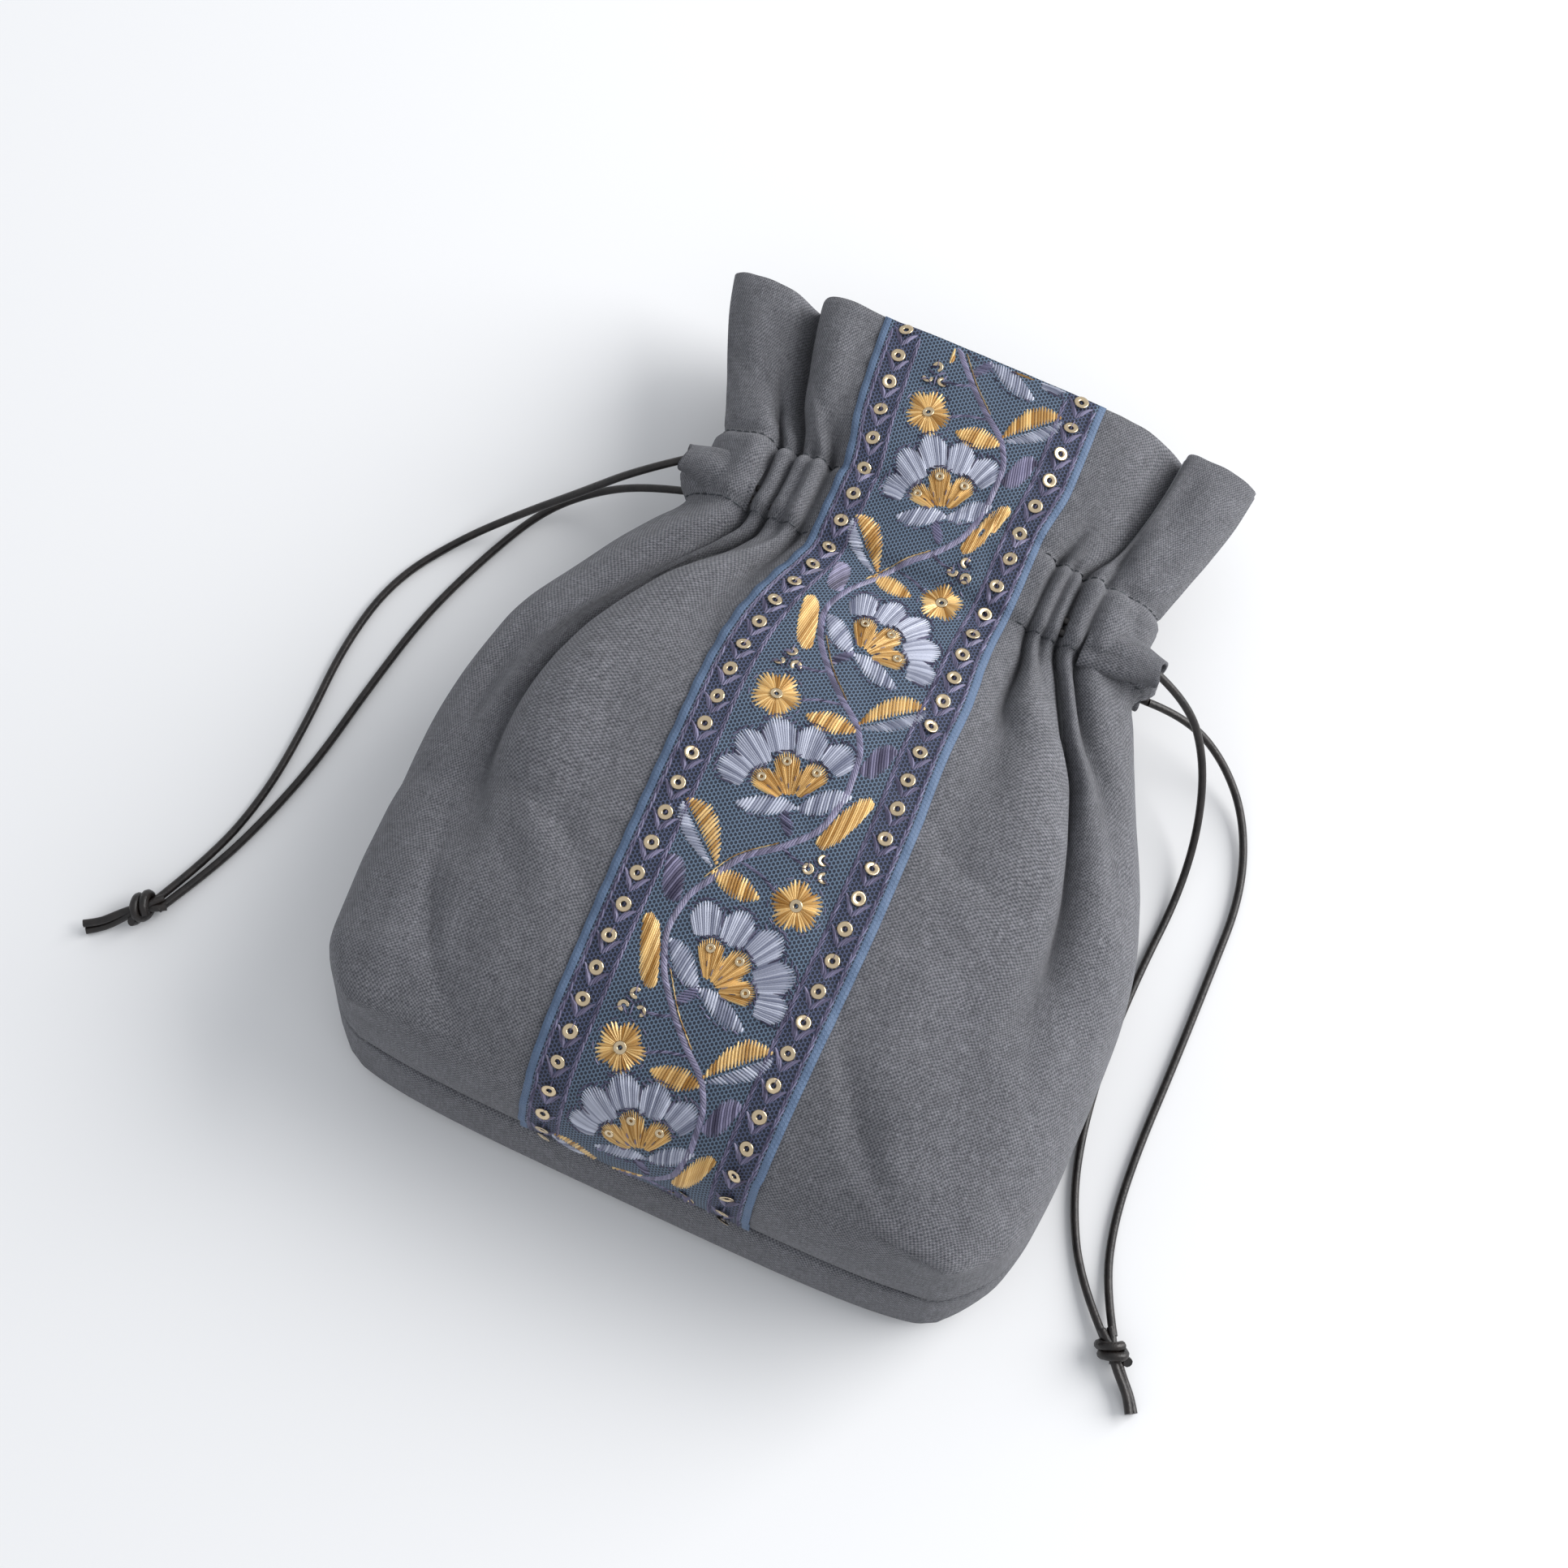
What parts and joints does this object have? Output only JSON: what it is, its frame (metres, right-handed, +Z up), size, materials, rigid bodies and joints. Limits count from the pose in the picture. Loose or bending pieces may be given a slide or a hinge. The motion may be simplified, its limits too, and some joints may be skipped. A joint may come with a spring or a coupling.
{
  "type": "drawstring gift pouch",
  "caption": "Soft lined gift pouch lying on its back, gathered at a drawstring casing below a flared frill, with an embroidered ribbon down its front and a knotted cord at each side.",
  "frame": {"origin": "middle of the back, on the surface the pouch lies on, halfway along it and across it", "axes": "+Z up through the front, +Y from the base to the mouth, +X to the right seen from the front"},
  "size_m": [0.2501, 0.1997, 0.0587],
  "materials": {
    "slate_linen": "plain weave, matt",
    "lining_cotton": "plain weave, matt",
    "ribbon_net": "fine net",
    "satin_thread": "satin thread, soft sheen",
    "gold_thread": "metallic thread",
    "stem_thread": "twisted thread",
    "sequin": "metallised film",
    "sewing_thread": "twisted thread",
    "waxed_cord": "waxed, low sheen"
  },
  "bodies": {
    "root": {"back_casing": "slate_linen", "back_casing_stitches": "sewing_thread", "back_frill": "slate_linen", "back_panel": "slate_linen", "front_casing": "slate_linen", "front_casing_stitches": "sewing_thread", "front_panel": "slate_linen", "gold_embroidery": "gold_thread", "left_cord_far_loop": "waxed_cord", "lining_back": "lining_cotton", "lining_front": "lining_cotton", "ribbon": "ribbon_net", "right_cord_far_loop": "waxed_cord", "satin_flowers": "satin_thread", "sequin_row_left": "sequin", "sequin_row_right": "sequin", "stem_stitches": "stem_thread"},
    "front_frill": {"frill_gold_embroidery": "gold_thread", "frill_satin_flowers": "satin_thread", "frill_sequins": "sequin", "frill_stem_stitches": "stem_thread", "front_frill": "slate_linen", "ribbon_frill": "ribbon_net"},
    "left_drawcord": {"left_cord_back_leg": "waxed_cord", "left_cord_back_strand": "waxed_cord", "left_cord_front_leg": "waxed_cord", "left_cord_front_strand": "waxed_cord", "left_cord_knot": "waxed_cord", "left_cord_tails": "waxed_cord"},
    "right_drawcord": {"right_cord_back_leg": "waxed_cord", "right_cord_back_strand": "waxed_cord", "right_cord_front_leg": "waxed_cord", "right_cord_front_strand": "waxed_cord", "right_cord_knot": "waxed_cord", "right_cord_tails": "waxed_cord"}
  },
  "joints": [
    {"name": "left_drawcord_pull", "type": "slide", "parent": "root", "child": "left_drawcord", "axis": [-1, 0, 0], "range_m": [0, 0.05]},
    {"name": "right_drawcord_pull", "type": "slide", "parent": "root", "child": "right_drawcord", "axis": [1, 0, 0], "range_m": [0, 0.05]},
    {"name": "mouth_opening", "type": "hinge", "parent": "root", "child": "front_frill", "pos_m": [0, 0.062, 0.039], "axis": [1, 0, 0], "range_deg": [0, 40]}
  ]
}
